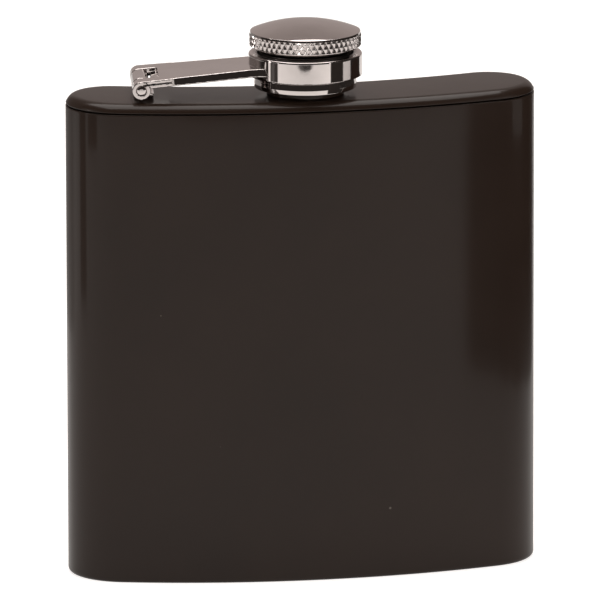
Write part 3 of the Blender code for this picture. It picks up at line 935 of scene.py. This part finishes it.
def liner(steel):
    """The cup pressed into the cap, with the inside thread."""
    bore = LINER_RADIUS - LINER_WALL
    root = bore + THREAD_DEPTH / 2
    ceiling = LINER_TOP - LINER_WALL
    cut = thread(-THREAD_DEPTH, 0.5, LINER_FOOT + 0.1 * MM, GASKET_FOOT)

    def relief(turns, r, z):
        on_wall = abs(r - root) < 0.01 * MM and z < ceiling - 0.1 * MM
        return cut(turns, r, z) if on_wall else np.zeros(len(turns))

    profile = refined(rounded([
        (0, LINER_TOP, 0),
        (LINER_RADIUS, LINER_TOP, SOFT),
        (LINER_RADIUS, LINER_FOOT, SOFT),
        (root, LINER_FOOT, EASED),
        (root, ceiling, CRISP),
        (0, ceiling, 0),
    ]), LINER_THREAD_STEP)
    points, faces = turned("liner", profile, TURN_STEPS, relief)
    finish(add_piece("threaded_liner", points, faces, 60), "cap", "bare_steel", "cap_liner", steel)


def gasket(silicone):
    """The seal, with a shallow groove pressed in by the neck's rim."""
    groove = NECK_RADIUS - NECK_WALL / 2
    profile = rounded([
        (0, GASKET_TOP, 0),
        (GASKET_RADIUS, GASKET_TOP, SOFT),
        (GASKET_RADIUS, GASKET_FOOT, FULL),
        (groove + DENT_MOUTH, GASKET_FOOT, SOFT),
        (groove + DENT_FLOOR, GASKET_FOOT + DENT_DEPTH, EASED),
        (groove - DENT_FLOOR, GASKET_FOOT + DENT_DEPTH, EASED),
        (groove - DENT_MOUTH, GASKET_FOOT, SOFT),
        (0, GASKET_FOOT, 0),
    ])
    points, faces = turned("gasket", profile, GASKET_STEPS)
    finish(add_piece("seal_disc", points, faces), "cap", "seal_silicone", "cap_gasket", silicone)


# Arm and hinge, in the hinge frame

RING_LOW = RING_TOP - RING_HEIGHT - HINGE.z
RING_HIGH = RING_TOP - HINGE.z
STRAP_RUN = ARM_LENGTH - RING_RADIUS
STRAP_RISE = RING_LOW + STRAP_ABOVE_RING_FOOT
STRAP_SLOPE = math.atan2(STRAP_RISE, STRAP_RUN) - math.asin(
    ROLL_RADIUS / math.hypot(STRAP_RUN, STRAP_RISE)
)


def strap_half_width(along):
    share = along / STRAP_RUN
    return (STRAP_WIDTH_AT_HINGE + share * (STRAP_WIDTH_AT_RING - STRAP_WIDTH_AT_HINGE)) / 2


def ring_field(x, y, z):
    """The cap's ring, with its upper outer edge rounded most."""
    reach = np.hypot(x - ARM_LENGTH, y)
    outside = both(reach - RING_RADIUS, z - RING_HIGH, RING_ROUND)
    outside = both(outside, RING_LOW - z, 0.12 * MM)
    return both(outside, RING_BORE - reach, 0.25 * MM)


def strap_field(x, y, z):
    """The strap: a web with turned-down sides, over the tail of the rolled sheet."""
    along = x * math.cos(STRAP_SLOPE) + z * math.sin(STRAP_SLOPE)
    depth = ROLL_RADIUS - z * math.cos(STRAP_SLOPE) + x * math.sin(STRAP_SLOPE)
    half = strap_half_width(along)
    reach = np.hypot(x - ARM_LENGTH, y)
    past_hem = ease(HEM_LENGTH, HEM_LENGTH + 1.0 * MM, along)
    lean = SIDE_LEAN * past_hem * (STRAP_DEPTH - np.clip(depth, 0, STRAP_DEPTH))
    plan = either(np.abs(y) - half, reach - RING_RADIUS, RING_FLARE) + lean
    slab = both(plan, -depth, STRAP_EDGE)
    slab = both(slab, depth - STRAP_DEPTH, 0.2 * MM)
    slab = both(slab, np.maximum(-along, x - ARM_LENGTH + 0.8 * RING_BORE), 0.0)
    slab = both(slab, RING_BORE + GAP - reach, 0.0)
    inner = np.abs(y) - half + STRAP_SHEET + lean
    pocket = both(inner, STRAP_SHEET - depth, 0.3 * MM)
    pocket = both(pocket, np.maximum(HEM_LENGTH - along, RING_RADIUS + GAP - reach), 0.0)
    slab = both(slab, -pocket, 0.1 * MM)
    seam = np.abs(depth - STRAP_SHEET - SEAM_SLIT_LIFT) - SEAM_SLIT / 2
    seam = np.maximum(seam, half - SEAM_SLIT_DEPTH - np.abs(y))
    seam = np.maximum(seam, np.maximum(0.5 * PIN_RADIUS - along, along - HEM_LENGTH))
    return slab, seam, depth


def arm_field(x, y, z):
    """The whole arm. Its slot is shorter in the tail, the lower of the hem's two layers."""
    strap, seam, depth = strap_field(x, y, z)
    from_pin = np.hypot(x, z)
    roll = both(from_pin - ROLL_RADIUS, np.abs(y) - strap_half_width(0), 0.12 * MM)
    solid = both(np.minimum(strap, roll), -seam, 0.03 * MM)
    in_tail = ease(STRAP_SHEET - 0.08 * MM, STRAP_SHEET + 0.12 * MM, depth)
    slot_end = SLOT_PAST_PIN + (TAIL_PAST_PIN - SLOT_PAST_PIN) * in_tail
    slot = both(np.abs(y) - SLOT_WIDTH / 2, x - slot_end, SLOT_CORNER)
    solid = both(solid, -slot, 0.22 * MM)
    solid = both(solid, PIN_RADIUS + EYE_CLEARANCE - from_pin, 0.04 * MM)
    return np.minimum(solid, ring_field(x, y, z))


def bracket_field(x, y, z):
    """The knuckle that fills the arm's slot, on its welded foot."""
    low = PLATE_TOP + GAP - HINGE.z
    knuckle = np.hypot(x, z) - ROLL_RADIUS
    stem = both(np.maximum(-x - BRACKET_HEEL, x - ROLL_RADIUS), np.maximum(z, low - z), 0.0)
    foot = both(np.abs(x - (BRACKET_FOOT - BRACKET_HEEL) / 2) - (BRACKET_FOOT + BRACKET_HEEL) / 2,
                np.maximum(z - low - BRACKET_SHEET, low - z), 0.1 * MM)
    solid = either(np.minimum(knuckle, stem), foot, BRACKET_FILLET)
    solid = np.maximum(solid, low - z)
    solid = both(solid, PIN_RADIUS + EYE_CLEARANCE - np.hypot(x, z), 0.04 * MM)
    return both(solid, np.abs(y) - SLOT_WIDTH / 2 + GAP, 0.18 * MM)


def arm(chrome):
    low = (-ROLL_RADIUS, -RING_RADIUS, -ROLL_RADIUS)
    high = (ARM_LENGTH + RING_RADIUS, RING_RADIUS, RING_HIGH)
    piece = carved("cap_arm", arm_field, low, high, ARM_CELL, HINGE_FRAME)
    finish(piece, "arm", "chrome", "arm", chrome)


def bracket(chrome):
    low = (-ROLL_RADIUS, -SLOT_WIDTH / 2, PLATE_TOP - HINGE.z)
    high = (BRACKET_FOOT, SLOT_WIDTH / 2, ROLL_RADIUS)
    piece = carved("hinge_knuckle", bracket_field, low, high, BRACKET_CELL, HINGE_FRAME)
    finish(piece, "flask", "chrome", "hinge_bracket", chrome)


def pin(chrome):
    """The hinge pin, peened over at both ends."""
    half = strap_half_width(0)
    profile = rounded([
        (0, half, 0),
        (PEEN_RADIUS, half - PEEN_RISE, CRISP),
        (PIN_RADIUS, half - PEEN_EDGE, EASED),
        (PIN_RADIUS, PEEN_EDGE - half, EASED),
        (PEEN_RADIUS, PEEN_RISE - half, CRISP),
        (0, -half, 0),
    ])
    points, faces = turned("pin", profile, PIN_STEPS, axis=Vector((0, 0, 0)))
    place = HINGE_FRAME @ Matrix.Rotation(math.radians(90), 4, "X")
    piece = add_piece("hinge_rivet", points, faces, 35, place)
    finish(piece, "flask", "bare_steel", "hinge_pin", chrome)


# Stage

CAMERA_AZIMUTH = -9.777
CAMERA_ELEVATION = 12.748
CAMERA_ROLL = -0.139
CAMERA_DISTANCE = 2.58613
CAMERA_LENS = 770.93
SENSOR_WIDTH = 36
CAMERA_TARGET = Vector((-1.187 * MM, NECK_Y, 55.762 * MM))
FLOOR_SIZE = 8.0
FLOOR_GREY = (0.5, 0.49, 0.48, 1)
FLOOR_TINT = (1, 0.975, 0.96, 1)
FLOOR_GLOW = 0.42
FLOOR_GLOW_TO_EYE = 0.35
LAMP_AIM = Vector((0, 0, 60 * MM))
DARK_ROOM = (0.03, 0.026, 0.024, 1)
PALE_WALL = (0.42, 0.36, 0.34, 1)
EVEN_GREY = (0.3, 0.285, 0.27, 1)
WHITE = (1.02, 1.02, 1.02, 1)
LAMP_TINT = (1, 0.95, 0.92)


def camera():
    """A long lens, a little to the left and above."""
    turn = math.radians(CAMERA_AZIMUTH)
    lift = math.radians(CAMERA_ELEVATION)
    data = bpy.data.cameras.new("camera")
    data.lens = CAMERA_LENS
    data.sensor_width = SENSOR_WIDTH
    data.clip_end = 20
    view = bpy.data.objects.new("camera", data)
    bpy.context.scene.collection.objects.link(view)
    away = Vector((
        math.sin(turn) * math.cos(lift), -math.cos(turn) * math.cos(lift), math.sin(lift)
    ))
    right = Vector((math.cos(turn), math.sin(turn), 0))
    axes = Matrix((right, away.cross(right), away)).transposed().to_4x4()
    roll = Matrix.Rotation(math.radians(CAMERA_ROLL), 4, "Z")
    view.matrix_world = Matrix.Translation(CAMERA_TARGET + CAMERA_DISTANCE * away) @ axes @ roll
    bpy.context.scene.camera = view


def softbox(name, place, size, radiance):
    """A rectangular area light that faces the flask, seen at most in reflections."""
    width, height = size
    data = bpy.data.lights.new(name, "AREA")
    data.shape = "RECTANGLE"
    data.size = width
    data.size_y = height
    data.energy = radiance * math.pi * width * height
    data.color = LAMP_TINT
    lamp = bpy.data.objects.new(name, data)
    bpy.context.scene.collection.objects.link(lamp)
    lamp.location = place
    lamp.visible_camera = False
    aim = LAMP_AIM - lamp.location
    lamp.rotation_euler = aim.to_track_quat("-Z", "Y").to_euler()


def flat_panel(name, corners, material):
    mesh = bpy.data.meshes.new(name)
    mesh.from_pydata(corners, [], [(0, 1, 2, 3)])
    mesh.materials.append(material)
    panel = bpy.data.objects.new(name, mesh)
    bpy.context.scene.collection.objects.link(panel)
    return panel


def dark_card(name, azimuths, distance, heights, material):
    """An upright dark card that shows only in reflections. Azimuth 0 is in front, 90 at +X."""
    angle = math.radians(sum(azimuths) / 2)
    half = distance * math.tan(math.radians(azimuths[1] - azimuths[0]) / 2)
    low, high = heights
    corners = [(-half, 0, low), (half, 0, low), (half, 0, high), (-half, 0, high)]
    card = flat_panel(name, corners, material)
    card.location = (distance * math.sin(angle), NECK_Y - distance * math.cos(angle), 0)
    card.rotation_euler.z = angle
    card.visible_camera = False
    card.visible_diffuse = False
    card.visible_shadow = False


def floor_material():
    """Pale, softly lit and even; it can't be seen from below."""
    material = bpy.data.materials.new("pale floor")
    material.use_nodes = True
    material.node_tree.nodes.clear()
    graph = Graph(material.node_tree)
    diffuse = graph.add("ShaderNodeBsdfDiffuse", {"Color": FLOOR_GREY}).outputs[0]
    to_eye = graph.add("ShaderNodeLightPath").outputs["Is Camera Ray"]
    strength = graph.calc("MULTIPLY_ADD", to_eye, FLOOR_GLOW_TO_EYE, FLOOR_GLOW)
    inputs = {"Color": FLOOR_TINT, "Strength": strength}
    glow = graph.add("ShaderNodeEmission", inputs).outputs[0]
    lit = graph.add("ShaderNodeAddShader", {0: diffuse, 1: glow}).outputs[0]
    clear = graph.add("ShaderNodeBsdfTransparent").outputs[0]
    under = graph.add("ShaderNodeNewGeometry").outputs["Backfacing"]
    mixed = graph.add("ShaderNodeMixShader", {0: under, 1: lit, 2: clear}).outputs[0]
    graph.add("ShaderNodeOutputMaterial", {"Surface": mixed})
    return material


def card_material(name, side_fade, top_fade, strength):
    """Dark cloth that thins out towards the card's sides and top."""
    material = bpy.data.materials.new(name)
    material.use_nodes = True
    material.node_tree.nodes.clear()
    graph = Graph(material.node_tree)
    source = graph.add("ShaderNodeTexCoord").outputs
    parts = graph.add("ShaderNodeSeparateXYZ", {0: source["Generated"]}).outputs
    cloud = graph.noise(source["Generated"], 3, 3)
    from_side = graph.calc("MINIMUM", parts[0], graph.calc("SUBTRACT", 1.0, parts[0]))
    from_top = graph.calc("SUBTRACT", 1.0, parts[2])
    side_cover = graph.ramp(from_side, 0.0, side_fade)
    top_cover = graph.ramp(from_top, 0.0, top_fade)
    cover = graph.calc("MULTIPLY", side_cover, top_cover)
    uneven = graph.calc("MULTIPLY_ADD", cloud, 0.3, 0.85)
    cover = graph.calc("MULTIPLY", cover, graph.calc("MULTIPLY", uneven, strength))
    cover = graph.calc("MINIMUM", cover, 1.0)
    cloth = graph.add("ShaderNodeBsdfDiffuse", {"Color": DARK_ROOM}).outputs[0]
    clear = graph.add("ShaderNodeBsdfTransparent").outputs[0]
    mixed = graph.add("ShaderNodeMixShader", {0: cover, 1: clear, 2: cloth}).outputs[0]
    graph.add("ShaderNodeOutputMaterial", {"Surface": mixed})
    return material


def world():
    """White to the eye, an even grey light on matt surfaces, and in reflections a pale wall
    behind the flask, with the dark room at its sides and in front."""
    room = bpy.data.worlds.new("studio")
    room.use_nodes = True
    room.node_tree.nodes.clear()
    graph = Graph(room.node_tree)
    direction = graph.add("ShaderNodeTexCoord").outputs["Generated"]
    parts = graph.add("ShaderNodeSeparateXYZ", {0: direction}).outputs
    level = graph.calc("SUBTRACT", 1.0, graph.calc("MULTIPLY", parts[2], parts[2]))
    level = graph.calc("SQRT", graph.calc("MAXIMUM", level, 0.001))
    behind = graph.ramp(graph.calc("DIVIDE", parts[1], level), 0.3, 0.7)
    fade = graph.ramp(parts[2], 0.3, 0.85, 1.0, 0.8)
    wall = graph.calc("MULTIPLY", behind, fade)
    mirrored = graph.blend(wall, DARK_ROOM, PALE_WALL)
    path = graph.add("ShaderNodeLightPath").outputs
    seen = graph.blend(path["Is Diffuse Ray"], mirrored, EVEN_GREY)
    seen = graph.blend(path["Is Camera Ray"], seen, WHITE)
    shade = graph.add("ShaderNodeBackground", {"Color": seen}).outputs[0]
    graph.add("ShaderNodeOutputWorld", {"Surface": shade})
    bpy.context.scene.world = room


def stage():
    half = FLOOR_SIZE / 2
    corners = [(-half, -half, 0), (half, -half, 0), (half, half, 0), (-half, half, 0)]
    flat_panel("floor", corners, floor_material())
    card = card_material("dark card", 0.12, 0.04, 1.2)
    uneven_card = card_material("uneven dark card", 0.12, 0.04, 0.95)
    thin_card = card_material("thin dark card", 0.25, 0.1, 0.6)
    faint_card = card_material("faint dark card", 0.25, 0.1, 0.35)
    smudge_card = card_material("soft dark card", 0.45, 0.2, 1.6)
    dark_card("card_right", (40, 73), 0.2, (-0.02, 0.4), card)
    dark_card("card_right_low", (66, 98), 0.2, (-0.02, 0.057), card)
    dark_card("card_right_thin", (66, 98), 0.21, (0.05, 0.3), faint_card)
    dark_card("card_far_right", (90, 133), 0.2, (-0.02, 0.4), card)
    dark_card("card_left", (-85, -65), 0.3, (0.036, 0.42), uneven_card)
    dark_card("card_far_left", (-104, -88), 0.3, (-0.02, 0.42), card)
    dark_card("card_back_left", (-170, -115), 0.25, (-0.02, 0.4), thin_card)
    dark_card("card_front", (-30, 10), 0.12, (0.0824, 0.0848), smudge_card)
    softbox("light_above", (0, 0.12, 0.9), (0.9, 0.8), 3.6)
    softbox("light_right", (0.705, -0.494, 0.363), (0.4, 0.2), 12)
    softbox("light_left", (-0.852, -0.12, 0.363), (0.5, 0.2), 8)
    bpy.context.scene.view_settings.view_transform = "Standard"


def build():
    world()
    camera()
    stage()
    paint = satin_black()
    chrome = bright_chrome()
    steel = turned_steel()
    sleeve(paint)
    foot_plate(paint)
    top_pan(paint)
    neck(steel, paint)
    crown(chrome, knurled_chrome())
    spool(chrome)
    liner(steel)
    gasket(milky_silicone())
    arm(chrome)
    bracket(chrome)
    pin(chrome)


build()
